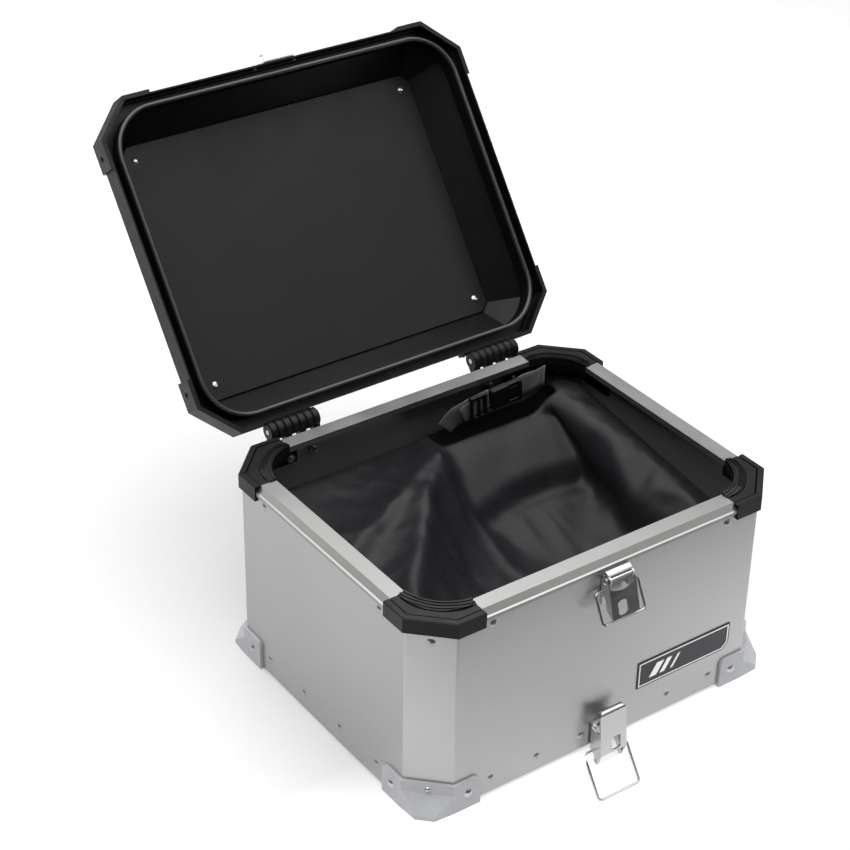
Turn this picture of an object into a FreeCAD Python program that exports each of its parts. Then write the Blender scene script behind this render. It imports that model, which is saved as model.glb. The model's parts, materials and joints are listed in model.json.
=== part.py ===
"""Aluminium motorcycle top case with a hinged lid, two draw latches and an inner bag.

Millimetres. X is the width, -Y is the front with the latches, +Z is up. The
pieces are drawn with z = 0 at the plane of the four corner feet and saved with
z = 0 at the underside of the floor plate. The lid is drawn shut and then
turned open about its hinge line, which is its rest position.
"""
import FreeCAD, Part
import math
import os

V = FreeCAD.Vector
X_AXIS = V(1, 0, 0)
Y_AXIS = V(0, 1, 0)
Z_AXIS = V(0, 0, 1)

# ---- driving dimensions: the body ----
CASE_W = 410.0          # outside width of the sheet body
CASE_D = 332.0          # outside depth
CHAMFER = 33.0          # leg of the four upright corner chamfers
SHEET = 1.5             # body and lid sheet
FOOT_H = 4.0            # feet under the corners
SHEET_TOP = 206.0       # the sheet ends inside the rim
BEND_R = 3.0            # bends of the sheet

# ---- the rim round the opening ----
LIP_T = 1.8             # the lip stands out over the sheet
LIP_LOW = 203.5
LIP_TOP = 207.5
BAND_LEAN = 4.6         # the rim's band leans in to a flat flange
FLANGE_Z = 213.0        # the seal lands on the flange
FLANGE_IN = 20.4
CROWN_IN = 12.6         # the corner caps rise inside the seal
CROWN_Z = 213.8
CROWN_TOP = 215.2
RIM_WALL = 1.6

# ---- plastic corners ----
WING = 28.0             # how far a corner piece runs along each side
CAP_LOW = 197.5
CAP_BAND_TOP = 213.0
CAP_T = 3.0
CAP_SKIRT_LOW = 182.0
CAP_SKIRT_T = 3.0
CAP_SKIRT_EXTRA = 18.0
CAP_ARCH_R = 46.0       # round inner corner of the opening
GUARD_T = 3.0
GUARD_TOP = 32.0
GUARD_CORNER_R = 7.0
FLARE_TOP = 21.0

# ---- rivets ----
RIVET_R = 1.6
RIVET_HEAD_R = 4.0
RIVET_HEAD_H = 1.7
RIVET_SET_R = 3.0
RIVET_SET_H = 1.2
UPPER_RIVET_Z = 196.4
UPPER_CHAMFER_RIVET_Z = 188.6
UPPER_RIVET_X = 134.2
UPPER_RIVET_Y = 94.1
LOWER_RIVET_Z = 19.1
FRONT_RIVET_PITCH = 52.2
SIDE_RIVET_PITCH = 60.5

# ---- the lid, drawn shut ----
LID_HX = 207.0
LID_HY = 168.0
LID_CHAMFER = 34.2
LID_LOW = 213.5
LID_SKIRT_H = 22.0
LID_RISE = 37.6
LID_INSET = 36.0
LID_TOP_CHAMFER = 8.0
LID_OPEN_DEG = 127.0
PANEL_HX = 170.2
PANEL_HY = 131.2
PANEL_Z = 269.1

# ---- the seal line ----
SEAL_X = 195.3
SEAL_FRONT = 156.3
SEAL_BACK = 156.3
SEAL_R = 2.4
SEAL_Z = 215.8
SEAL_CORNER_R = 46.0
FRAME_WALL = 3.6

# ---- hinges ----
HINGE_Y = 177.8
HINGE_Z = 214.0
HINGE_X0 = 93.0
KNUCKLES = 7
KNUCKLE = 8.0
KNUCKLE_GAP = 0.4
KNUCKLE_R = 9.3
HINGE_PIN_R = 2.5
HINGE_FIT = 0.05
BOLT_X = (107.0, 135.0)
BOLT_Z = 190.0
BOLT_R = 2.5

# ---- latches: t is the distance out from the front face ----
LATCH_HALF = 15.5
LATCH_SHEET = 1.5
EAR_OUT = 13.6
WIRE_R = 1.4
WIRE_FIT = 0.06
PIN_R = 1.5
BAIL_HALF = 24.5
LID_LATCH_PIVOT = (5.0, 193.3)
LID_BAIL_PIVOT = (3.7, 183.0)
LID_BAIL_R = 30.5
LID_BAIL_REST_DEG = -62.3
RACK_LATCH_PIVOT = (9.0, -10.0)
RACK_BAIL_PIVOT = (4.0, -2.0)
RACK_BAIL_BAR = (30.4, -40.0)

HALF_W = CASE_W / 2
HALF_D = CASE_D / 2
DIAG = 2 - math.sqrt(2)
BODY_LOW = FOOT_H
LID_SLOPE_Z = LID_LOW + LID_SKIRT_H
LID_TOP = LID_SLOPE_Z + LID_RISE

os.makedirs("parts", exist_ok=True)


def save(name, solids):
    """Write one node, which may hold several separate solids."""
    items = solids if isinstance(solids, list) else [solids]
    flat = []
    for item in items:
        flat.extend(item.Solids)
    shape = flat[0] if len(flat) == 1 else Part.makeCompound(flat)
    shape = shape.translated(V(0, 0, -FOOT_H))
    shape.exportStep("parts/" + name + ".step")


def union(items):
    """Fuse a list of shapes and drop the seams between them."""
    base = items[0]
    if len(items) > 1:
        base = base.multiFuse(items[1:])
    return base.removeSplitter()


def face_of(points):
    return Part.Face(Part.makePolygon(points + [points[0]]))


def octagon_points(hx, hy, c, z):
    """A rectangle of half sizes hx, hy with its corners cut by legs of c."""
    return [
        V(-hx + c, -hy, z), V(hx - c, -hy, z), V(hx, -hy + c, z), V(hx, hy - c, z),
        V(hx - c, hy, z), V(-hx + c, hy, z), V(-hx, hy - c, z), V(-hx, -hy + c, z),
    ]


def octagon_prism(hx, hy, c, z0, z1):
    return face_of(octagon_points(hx, hy, c, z0)).extrude(V(0, 0, z1 - z0))


def octagon_loft(low, high):
    """A solid of flat faces between two octagons, each given as (hx, hy, c, z)."""
    bottom = octagon_points(*low)
    top = octagon_points(*high)
    faces = [face_of(bottom), face_of(top)]
    for i in range(8):
        j = (i + 1) % 8
        faces.append(face_of([bottom[i], bottom[j], top[j], top[i]]))
    return Part.makeSolid(Part.makeShell(faces))


def body_prism(off, z0, z1):
    """The body's outline moved out by off."""
    return octagon_prism(HALF_W + off, HALF_D + off, CHAMFER + DIAG * off, z0, z1)


def body_prism_round(off, z0, z1, radius):
    """The same with rounded upright bends."""
    solid = body_prism(off, z0, z1)
    upright = [e for e in solid.Edges if abs(e.tangentAt(e.FirstParameter).z) > 0.99]
    return solid.makeFillet(radius, upright)


def lid_prism(off, z0, z1):
    return octagon_prism(LID_HX + off, LID_HY + off, LID_CHAMFER + DIAG * off, z0, z1)


def box(x0, x1, y0, y1, z0, z1):
    return Part.makeBox(x1 - x0, y1 - y0, z1 - z0, V(x0, y0, z0))


def cylinder(radius, height, base, direction):
    return Part.makeCylinder(radius, height, base, direction)


def rounded_rect_wire(hx, y0, y1, r, z):
    """A rectangle from y0 to y1 with round corners, as one wire."""
    s = r * (1 - math.sqrt(0.5))
    edges = [
        Part.makeLine(V(-hx + r, y0, z), V(hx - r, y0, z)),
        Part.Arc(V(hx - r, y0, z), V(hx - s, y0 + s, z), V(hx, y0 + r, z)).toShape(),
        Part.makeLine(V(hx, y0 + r, z), V(hx, y1 - r, z)),
        Part.Arc(V(hx, y1 - r, z), V(hx - s, y1 - s, z), V(hx - r, y1, z)).toShape(),
        Part.makeLine(V(hx - r, y1, z), V(-hx + r, y1, z)),
        Part.Arc(V(-hx + r, y1, z), V(-hx + s, y1 - s, z), V(-hx, y1 - r, z)).toShape(),
        Part.makeLine(V(-hx, y1 - r, z), V(-hx, y0 + r, z)),
        Part.Arc(V(-hx, y0 + r, z), V(-hx + s, y0 + s, z), V(-hx + r, y0, z)).toShape(),
    ]
    return Part.Wire(edges)


def rounded_prism(hx, y0, y1, r, z0, z1):
    return Part.Face(rounded_rect_wire(hx, y0, y1, r, z0)).extrude(V(0, 0, z1 - z0))


def seal_prism(off, z0, z1):
    """The seal line moved out by off, as a solid."""
    return rounded_prism(
        SEAL_X + off, -SEAL_FRONT - off, SEAL_BACK + off, SEAL_CORNER_R + off, z0, z1)


def side_plate(points, x0, x1):
    """A plate across X, from (t, z) points in front of the body."""
    outline = [V(x0, -HALF_D - t, z) for t, z in points]
    return face_of(outline).extrude(V(x1 - x0, 0, 0))


def yz_plate(points, x0, x1):
    outline = [V(x0, y, z) for y, z in points]
    return face_of(outline).extrude(V(x1 - x0, 0, 0))


def front_point(x, t, z):
    return V(x, -HALF_D - t, z)


def round_path(points, radius):
    """A path of straight lines with its corners rounded."""
    edges = []
    start = points[0]
    for i in range(1, len(points) - 1):
        corner = points[i]
        back = (points[i - 1] - corner).normalize()
        ahead = (points[i + 1] - corner).normalize()
        half = back.getAngle(ahead) / 2
        run = radius / math.tan(half)
        enter = corner + back * run
        leave = corner + ahead * run
        mid_dir = (back + ahead).normalize()
        middle = corner + mid_dir * (radius / math.sin(half) - radius)
        edges.append(Part.makeLine(start, enter))
        edges.append(Part.Arc(enter, middle, leave).toShape())
        start = leave
    edges.append(Part.makeLine(start, points[-1]))
    return Part.Wire(edges)


def bent_wire(points, radius, wire_r):
    """A round wire bent along a path."""
    path = round_path(points, radius)
    direction = points[1] - points[0]
    ring = Part.Wire(Part.makeCircle(wire_r, points[0], direction))
    return path.makePipeShell([ring], True, True)


def turned(edges, base, direction):
    """A solid of revolution about Z, set down at base and pointing along direction."""
    solid = Part.Face(Part.Wire(edges)).revolve(V(0, 0, 0), Z_AXIS, 360)
    solid.Placement = FreeCAD.Placement(base, FreeCAD.Rotation(Z_AXIS, direction))
    return solid


def round_top(radius, height):
    """The edge of a low round head, from its rim to its crown."""
    sphere_r = (radius ** 2 + height ** 2) / (2 * height)
    low = height - sphere_r
    half = math.asin(radius / sphere_r) / 2
    middle = V(sphere_r * math.sin(half), 0, low + sphere_r * math.cos(half))
    return Part.Arc(V(radius, 0, 0), middle, V(0, 0, height)).toShape()


def dome(radius, height, base, direction):
    """A low round head that stands on base."""
    edges = [
        Part.makeLine(V(0, 0, 0), V(radius, 0, 0)),
        round_top(radius, height),
        Part.makeLine(V(0, 0, height), V(0, 0, 0)),
    ]
    return turned(edges, base, direction)


def rivet(base, out, grip, head_r, head_h):
    """A rivet through a stack of sheet: head outside, set head inside."""
    low = -grip - RIVET_SET_H
    stations = [
        V(0, 0, low), V(RIVET_SET_R, 0, low), V(RIVET_SET_R, 0, -grip), V(RIVET_R, 0, -grip),
        V(RIVET_R, 0, 0), V(head_r, 0, 0),
    ]
    edges = []
    for first, second in zip(stations, stations[1:]):
        edges.append(Part.makeLine(first, second))
    edges.append(round_top(head_r, head_h))
    edges.append(Part.makeLine(V(0, 0, head_h), V(0, 0, low)))
    return turned(edges, base, out)


def turn_lid(shape):
    """Swing a shape that was drawn on the shut lid to the open position."""
    opened = shape.copy()
    opened.rotate(V(0, HINGE_Y, HINGE_Z), X_AXIS, -LID_OPEN_DEG)
    return opened


CORNERS = {
    "front_left": (-1, -1),
    "front_right": (1, -1),
    "back_left": (-1, 1),
    "back_right": (1, 1),
}


def corner_region(sx, sy, along, z0, z1):
    """The block of space that one corner piece may fill."""
    x_in = HALF_W - CHAMFER - along
    y_in = HALF_D - CHAMFER - along
    far = 60.0
    block = box(x_in, HALF_W + far, y_in, HALF_D + far, z0, z1)
    return flip(block, sx, sy)


def flip(shape, sx, sy):
    """Mirror a shape that was drawn in the +X +Y corner."""
    out = shape
    if sx < 0:
        out = out.mirror(V(0, 0, 0), X_AXIS)
    if sy < 0:
        out = out.mirror(V(0, 0, 0), Y_AXIS)
    return out


def chamfer_centre(sx, sy, z):
    mid = CHAMFER / 2
    return V(sx * (HALF_W - mid), sy * (HALF_D - mid), z)


def chamfer_out(sx, sy):
    return V(sx, sy, 0).normalize()


# ---------------------------------------------------------------- fasteners
upper_rivets = []
lower_rivets = []
guard_screws = []
through_holes = []
floor_holes = []
skirt_holes = []
guard_holes = []


def hole(base, out, radius, depth):
    return cylinder(radius, depth + 6.0, base - out * depth, out)


def add_upper(base, out):
    upper_rivets.append(rivet(base, out, SHEET + CAP_SKIRT_T, RIVET_HEAD_R, RIVET_HEAD_H))
    cutter = hole(base, out, RIVET_R, 8.0)
    through_holes.append(cutter)
    skirt_holes.append(cutter)


def add_lower(base, out):
    lower_rivets.append(rivet(base, out, 2 * SHEET, RIVET_HEAD_R, RIVET_HEAD_H))
    cutter = hole(base, out, RIVET_R, 6.0)
    through_holes.append(cutter)
    floor_holes.append(cutter)


def add_guard(base, out, radius):
    grip = GUARD_T + 2 * SHEET
    guard_screws.append(rivet(base + out * GUARD_T, out, grip, radius, 2.2))
    cutter = hole(base, out, RIVET_R, 8.0)
    through_holes.append(cutter)
    floor_holes.append(cutter)
    guard_holes.append(cutter)


for sx in (-1, 1):
    add_upper(V(sx * UPPER_RIVET_X, -HALF_D, UPPER_RIVET_Z), V(0, -1, 0))
    for sy in (-1, 1):
        add_upper(V(sx * HALF_W, sy * UPPER_RIVET_Y, UPPER_RIVET_Z), V(sx, 0, 0))
        add_upper(chamfer_centre(sx, sy, UPPER_CHAMFER_RIVET_Z), chamfer_out(sx, sy))
        add_guard(V(sx * (HALF_W - CHAMFER - 14.5), sy * HALF_D, 17.0), V(0, sy, 0), 4.6)
        add_guard(V(sx * HALF_W, sy * (HALF_D - CHAMFER - 14.5), 17.0), V(sx, 0, 0), 4.6)
        add_guard(chamfer_centre(sx, sy, 25.0), chamfer_out(sx, sy), 3.0)
    for i in range(4):
        add_lower(V(sx * HALF_W, (i - 1.5) * SIDE_RIVET_PITCH, LOWER_RIVET_Z), V(sx, 0, 0))
for sy in (-1, 1):
    for i in range(6):
        add_lower(V((i - 2.5) * FRONT_RIVET_PITCH, sy * HALF_D, LOWER_RIVET_Z), V(0, sy, 0))

# hinge bolts through the back, the outer ones also through the corner caps
hinge_bolts = []
hinge_nuts = []
for sx in (-1, 1):
    for x in BOLT_X:
        leaf_face = V(sx * x, HALF_D + 3.0, BOLT_Z)
        grip = 3.0 + SHEET + CAP_SKIRT_T
        head = cylinder(4.6, 2.6, leaf_face, Y_AXIS)
        socket = cylinder(1.8, 1.6, leaf_face + Y_AXIS * 1.1, Y_AXIS)
        shank = cylinder(BOLT_R, grip + 5.5, leaf_face - Y_AXIS * (grip + 5.5), Y_AXIS)
        hinge_bolts.append(union([head.cut(socket), shank]))
        washer_face = leaf_face - Y_AXIS * grip
        if x == BOLT_X[0]:
            washer_face = leaf_face - Y_AXIS * (grip - CAP_SKIRT_T)
        hexagon = []
        for k in range(6):
            a = math.radians(60 * k)
            hexagon.append(washer_face + V(4.6 * math.cos(a), 0, 4.6 * math.sin(a)))
        nut = face_of(hexagon).extrude(V(0, -4.0, 0))
        hinge_nuts.append(nut.cut(cylinder(BOLT_R, 20, washer_face - Y_AXIS * 10, Y_AXIS)))
        cutter = cylinder(BOLT_R, 30, leaf_face - Y_AXIS * 20, Y_AXIS)
        through_holes.append(cutter)
        skirt_holes.append(cutter)

# latch base rivets
latch_rivets = []
LATCH_RIVETS = [(-5.0, 191.5), (5.0, 191.5), (-6.0, 24.0), (6.0, 24.0)]
latch_holes = []
for x, z in LATCH_RIVETS:
    base = front_point(x, LATCH_SHEET, z)
    out = V(0, -1, 0)
    grip = LATCH_SHEET + SHEET + (SHEET if z < 40 else 0)
    latch_rivets.append(rivet(base, out, grip, 2.8, 1.4))
    cutter = hole(base, out, RIVET_R, 10.0)
    through_holes.append(cutter)
    latch_holes.append(cutter)
    if z < 40:
        floor_holes.append(cutter)

save("cap_rivets", upper_rivets)
save("floor_rivets", lower_rivets)
save("corner_guard_fasteners", guard_screws)
save("hinge_bolts", hinge_bolts)
save("hinge_nuts", hinge_nuts)
save("latch_rivets", latch_rivets)

# ---------------------------------------------------------------- sheet body
outer = body_prism_round(0, BODY_LOW, SHEET_TOP, BEND_R)
inner = body_prism_round(-SHEET, BODY_LOW - 1, SHEET_TOP + 1, BEND_R - SHEET)
body_shell = outer.cut(inner).cut(Part.makeCompound(through_holes))
save("body_shell", body_shell)

tray = body_prism_round(-SHEET, BODY_LOW, 30.0, BEND_R - SHEET)
tray_in = body_prism(-2 * SHEET, BODY_LOW + SHEET, 31.0)
floor_plate = tray.cut(tray_in).cut(Part.makeCompound(floor_holes))
save("floor_plate", floor_plate)

# ---------------------------------------------------------------- rim
RIM_PROFILE = [
    (-LIP_T, LIP_LOW), (-LIP_T, LIP_TOP - 0.8), (0, LIP_TOP), (BAND_LEAN, FLANGE_Z),
    (FLANGE_IN, FLANGE_Z), (FLANGE_IN, 207.0), (FLANGE_IN - RIM_WALL, 207.0),
    (FLANGE_IN - RIM_WALL, FLANGE_Z - RIM_WALL), (BAND_LEAN + 0.9, FLANGE_Z - RIM_WALL),
    (SHEET + RIM_WALL, LIP_TOP + 1.0), (SHEET + RIM_WALL, 201.0), (SHEET, 201.0),
    (SHEET, SHEET_TOP), (0, SHEET_TOP), (0, LIP_LOW),
]
front_run = HALF_W - CHAMFER - WING
side_run = HALF_D - CHAMFER - WING


def rim_y(sy):
    outline = [V(-front_run, sy * (HALF_D - n), z) for n, z in RIM_PROFILE]
    return face_of(outline).extrude(V(2 * front_run, 0, 0))


def rim_x(sx):
    outline = [V(sx * (HALF_W - n), -side_run, z) for n, z in RIM_PROFILE]
    return face_of(outline).extrude(V(0, 2 * side_run, 0))


save("rim_front", rim_y(-1))
save("rim_back", rim_y(1))
save("rim_left", rim_x(-1))
save("rim_right", rim_x(1))

# ---------------------------------------------------------------- corner caps
def cap_arch_prism(off, z0, z1):
    """The round cornered opening between the caps and rims, moved out by off."""
    y = HALF_D - FLANGE_IN + off
    return rounded_prism(HALF_W - FLANGE_IN + off, -y, y, CAP_ARCH_R + off, z0, z1)


def outline_at(off, z):
    """The body's outline moved out by off, as one end of a loft."""
    return (HALF_W + off, HALF_D + off, CHAMFER + DIAG * off, z)


band = body_prism(CAP_T, CAP_LOW, CAP_BAND_TOP - 1.0)
band = band.fuse(octagon_loft(
    (HALF_W + CAP_T, HALF_D + CAP_T, CHAMFER + DIAG * CAP_T, CAP_BAND_TOP - 1.0),
    (HALF_W + CAP_T - 1, HALF_D + CAP_T - 1, CHAMFER + DIAG * (CAP_T - 1), CAP_BAND_TOP)))
band = band.cut(body_prism(0, CAP_LOW - 1, SHEET_TOP))
band = band.cut(body_prism(-3.0, SHEET_TOP - 1, CAP_BAND_TOP + 1))
ledge = body_prism(0, SHEET_TOP, LIP_TOP)
ledge = ledge.fuse(octagon_loft(
    outline_at(0, LIP_TOP), outline_at(-BAND_LEAN, FLANGE_Z)))
slope = body_prism(-CROWN_IN, SHEET_TOP, CROWN_Z)
slope = slope.fuse(octagon_loft(
    outline_at(-CROWN_IN, CROWN_Z), outline_at(-FLANGE_IN, CROWN_TOP)))
slope = slope.common(seal_prism(-SEAL_R - 0.5, SHEET_TOP - 1, CROWN_TOP + 1))
crown_pieces = [ledge, slope]
for low, high in ((1.5, 3.0), (5.0, 6.5), (8.5, 10.0)):
    ring = cap_arch_prism(high, CROWN_Z, 225.0).cut(cap_arch_prism(low, CROWN_Z - 1, 226.0))
    crown_pieces.append(ring.common(slope.translated(V(0, 0, 0.8))))
crown = union(crown_pieces).cut(cap_arch_prism(0, SHEET_TOP - 1, 226.0))
crown = crown.cut(octagon_loft(outline_at(-6.2, SHEET_TOP - 1), outline_at(-18.0, 210.4)))
skirt = body_prism(-SHEET, CAP_SKIRT_LOW, SHEET_TOP).cut(
    body_prism(-SHEET - CAP_SKIRT_T, CAP_SKIRT_LOW - 1, SHEET_TOP + 1))
skirt_top = 200.0
returns = []
for low, high, z0, z1 in ((0, 2.6, 206, 213.0), (2.2, 5.4, 201, 208.5), (5.0, 8.6, 196, 203.5)):
    returns.append(cap_arch_prism(high, z0, z1).cut(cap_arch_prism(low, z0 - 1, z1 + 1)))
knuckle_room = cylinder(KNUCKLE_R + 0.5, 30.0, V(130, HINGE_Y, HINGE_Z), X_AXIS)
knuckle_room = knuckle_room.fuse(cylinder(
    KNUCKLE_R + 0.5, 30.0, V(-160, HINGE_Y, HINGE_Z), X_AXIS))

for name, (sx, sy) in CORNERS.items():
    main = corner_region(sx, sy, WING, 0, 300)
    wide = corner_region(sx, sy, WING + CAP_SKIRT_EXTRA, 0, skirt_top)
    pieces = [band.common(main), crown.common(main), skirt.common(main), skirt.common(wide)]
    for ring in returns:
        pieces.append(ring.common(main))
    centre_x = sx * (HALF_W - FLANGE_IN - CAP_ARCH_R)
    centre_y = sy * (HALF_D - FLANGE_IN - CAP_ARCH_R)
    for deg in (20, 33, 45, 57, 70):
        rib = box(CAP_ARCH_R + 5.5, 95.0, -1.0, 1.0, 196.0, 206.0)
        a = deg if sx * sy > 0 else -deg
        if sx < 0:
            a = 180 + a
        rib.rotate(V(0, 0, 0), Z_AXIS, a)
        rib.translate(V(centre_x, centre_y, 0))
        pieces.append(rib.common(body_prism(-SHEET - 0.5, 180, 220)).common(main))
    cap = union(pieces).cut(Part.makeCompound(skirt_holes)).cut(knuckle_room)
    save("corner_cap_" + name, cap)

# ---------------------------------------------------------------- corner guards
guard_band = body_prism(GUARD_T, BODY_LOW - 1.0, GUARD_TOP).cut(
    body_prism(0, BODY_LOW - 2, GUARD_TOP + 1))


def guard_corner(run_x, along_x):
    """Rounds the free upper corner of a guard's wing."""
    r = GUARD_CORNER_R
    if along_x:
        block = box(run_x, run_x + r, HALF_D - 5, HALF_D + 10, GUARD_TOP - r, GUARD_TOP)
        post = cylinder(r, 20, V(run_x + r, HALF_D - 7, GUARD_TOP - r), Y_AXIS)
    else:
        block = box(HALF_W - 5, HALF_W + 10, run_x, run_x + r, GUARD_TOP - r, GUARD_TOP)
        post = cylinder(r, 20, V(HALF_W - 7, run_x + r, GUARD_TOP - r), X_AXIS)
    return block.cut(post)


foot_outline = [
    V(HALF_W - CHAMFER - WING, HALF_D + GUARD_T, 0), V(HALF_W - 34, HALF_D + GUARD_T, 0),
    V(HALF_W - 11.5, HALF_D + 1.5, 0), V(HALF_W + 1.5, HALF_D - 11.5, 0),
    V(HALF_W + GUARD_T, HALF_D - 34, 0), V(HALF_W + GUARD_T, HALF_D - CHAMFER - WING, 0),
    V(HALF_W - 14, HALF_D - CHAMFER - WING, 0), V(HALF_W - 34, HALF_D - 34, 0),
    V(HALF_W - CHAMFER - WING, HALF_D - 14, 0),
]
foot = face_of(foot_outline).extrude(V(0, 0, FOOT_H))
quarter = guard_band.common(corner_region(1, 1, WING, 0, 60))
quarter = quarter.cut(guard_corner(front_run, True)).cut(guard_corner(side_run, False))

# the chamfer of the guard runs out at its lower end to the squarer corner of the foot
ax, ay = HALF_W + GUARD_T - CHAMFER - DIAG * GUARD_T, HALF_D + GUARD_T
bx, by = HALF_W + GUARD_T, HALF_D + GUARD_T - CHAMFER - DIAG * GUARD_T
low_a, low_b = V(ax, ay, FOOT_H), V(bx, by, FOOT_H)
high_a, high_b = V(ax, ay, FLARE_TOP), V(bx, by, FLARE_TOP)
out_a, out_b = V(HALF_W - 11.5, HALF_D + 1.5, FOOT_H), V(HALF_W + 1.5, HALF_D - 11.5, FOOT_H)
flare = Part.makeSolid(Part.makeShell([
    face_of([low_a, out_a, out_b, low_b]), face_of([low_a, low_b, high_b, high_a]),
    face_of([low_a, out_a, high_a]), face_of([out_b, low_b, high_b]),
    face_of([out_a, out_b, high_b, high_a]),
]))
guard = union([quarter, foot, flare])
for name, (sx, sy) in CORNERS.items():
    placed = flip(guard, sx, sy).cut(Part.makeCompound(guard_holes))
    save("corner_guard_" + name, placed)

# ---------------------------------------------------------------- badge
badge_x0, badge_x1 = 38.0, 152.0
badge_z0, badge_z1 = 44.6, 74.6
cut_corner = 7.0


def badge_outline(inset, t):
    x0, x1 = badge_x0 + inset, badge_x1 - inset
    z0, z1 = badge_z0 + inset, badge_z1 - inset
    cc = cut_corner - 0.4 * inset
    return [
        front_point(x0, t, z0), front_point(x1 - cc, t, z0), front_point(x1, t, z0 + cc),
        front_point(x1, t, z1), front_point(x0, t, z1),
    ]


plate = face_of(badge_outline(0, 0)).extrude(V(0, -0.8, 0))
save("badge_plate", plate)
ring = face_of(badge_outline(1.6, 0.8)).extrude(V(0, -0.3, 0)).cut(
    face_of(badge_outline(2.8, 0.7)).extrude(V(0, -0.6, 0)))
stripes = []
for i, width in enumerate((9.0, 6.0, 3.0)):
    sx0 = badge_x0 + 14 + 13 * i
    stripe = face_of([
        front_point(sx0, 0.8, badge_z0 + 8), front_point(sx0 + width, 0.8, badge_z0 + 8),
        front_point(sx0 + width + 9, 0.8, badge_z1 - 8), front_point(sx0 + 9, 0.8, badge_z1 - 8),
    ]).extrude(V(0, -0.3, 0))
    stripes.append(stripe)
save("badge_trim", [ring] + stripes)

# ---------------------------------------------------------------- lid latch
pt, pz = LID_LATCH_PIVOT
bt, bz = LID_BAIL_PIVOT


def pivot_bore(t, z, radius, x0, x1):
    return cylinder(radius, x1 - x0, front_point(x0, t, z), X_AXIS)


def both_sides(shape):
    return [shape, shape.mirror(V(0, 0, 0), X_AXIS)]


base_plate = side_plate(
    [(0, 166), (0, 201), (LATCH_SHEET, 201), (LATCH_SHEET, 166)], -EAR_OUT, EAR_OUT)
ear = side_plate(
    [(0, 186), (0, 200.6), (5.5, 200.3), (9.5, 199.6), (11.3, 198.2), (11.3, 195.8),
     (9.5, 190.0), (7.5, 187.8)], EAR_OUT - LATCH_SHEET, EAR_OUT)
cover_in = cylinder(5.6, 2 * EAR_OUT, front_point(-EAR_OUT, 2.4, 196.0), X_AXIS)
cover_out = cylinder(7.1, 2 * EAR_OUT, front_point(-EAR_OUT, 2.4, 196.0), X_AXIS)
cover = cover_out.cut(cover_in).common(
    side_plate([(1.0, 198.0), (1.0, 204), (9.0, 204), (9.0, 199.2), (7.0, 199.2)],
               -EAR_OUT, EAR_OUT))
lid_base = union([base_plate, cover] + both_sides(ear))
pins = []
for shape in both_sides(
        union([pivot_bore(pt, pz, PIN_R, EAR_OUT - LATCH_SHEET, LATCH_HALF + 0.4),
               dome(2.7, 1.2, front_point(LATCH_HALF + 0.35, pt, pz), X_AXIS)])):
    pins.append(shape)
roller = pivot_bore(9.4, 197.2, 1.4, -EAR_OUT + LATCH_SHEET, EAR_OUT - LATCH_SHEET)
lid_base = lid_base.cut(Part.makeCompound(pins + latch_holes))
save("lid_latch_base", lid_base)
save("lid_latch_pins", pins + [roller])


def web_plate(top, bottom, half, thick):
    """A flat plate from top to bottom, given as (t, z) of its outer face."""
    dt, dz = bottom[0] - top[0], bottom[1] - top[1]
    length = math.hypot(dt, dz)
    nt, nz = dz / length, -dt / length
    return side_plate(
        [top, bottom, (bottom[0] + nt * thick, bottom[1] + nz * thick),
         (top[0] + nt * thick, top[1] + nz * thick)], -half, half)


def lock_hole(centre, x, tilt):
    """A round hole with two flats, cut square to the lever's face."""
    post = cylinder(7.6, 16, front_point(x, centre[0] + 6, centre[1]), V(0, 1, 0))
    keep = box(x - 5.4, x + 5.4, -HALF_D - centre[0] - 20, -HALF_D - centre[0] + 20,
               centre[1] - 20, centre[1] + 20)
    cutter = post.common(keep)
    cutter.rotate(front_point(x, centre[0], centre[1]), X_AXIS, tilt)
    return cutter


web_top, web_low = (12.4, 189.5), (20.3, 160.6)
lean = math.degrees(math.atan2(web_low[0] - web_top[0], web_top[1] - web_low[1]))
web = web_plate(web_top, web_low, LATCH_HALF, LATCH_SHEET)
scoop = cylinder(26.0, 30, front_point(0, 25, web_top[1] + 20.6), Y_AXIS)
web = web.cut(scoop)
web = web.cut(lock_hole((17.9, 168.8), -2.5, -lean))
cheek = side_plate(
    [(0.9, 193.3), (8.6, 196.0), (12.4, 189.5), (20.3, 160.6), (18.9, 160.2), (10.6, 166.0),
     (9.0, 174.0), (6.6, 178.4), (0.9, 178.6)], LATCH_HALF - LATCH_SHEET, LATCH_HALF)
boss = pivot_bore(pt, pz, 4.4, LATCH_HALF - LATCH_SHEET, LATCH_HALF)
lever = union([web] + both_sides(cheek.fuse(boss)))
lever = lever.cut(pivot_bore(pt, pz, PIN_R + WIRE_FIT, -30, 30))
lever = lever.cut(pivot_bore(bt, bz, WIRE_R + WIRE_FIT, -30, 30))
save("lid_latch_lever", lever)

a = math.radians(LID_BAIL_REST_DEG)
bar_t = bt + LID_BAIL_R * math.cos(a)
bar_z = bz + LID_BAIL_R * math.sin(a)
inner_end = LATCH_HALF - LATCH_SHEET
bail_path = [
    front_point(-inner_end, bt, bz), front_point(-BAIL_HALF, bt, bz),
    front_point(-BAIL_HALF, bar_t, bar_z), front_point(BAIL_HALF, bar_t, bar_z),
    front_point(BAIL_HALF, bt, bz), front_point(inner_end, bt, bz),
]
save("lid_latch_bail", bent_wire(bail_path, 3.6, WIRE_R))

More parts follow.
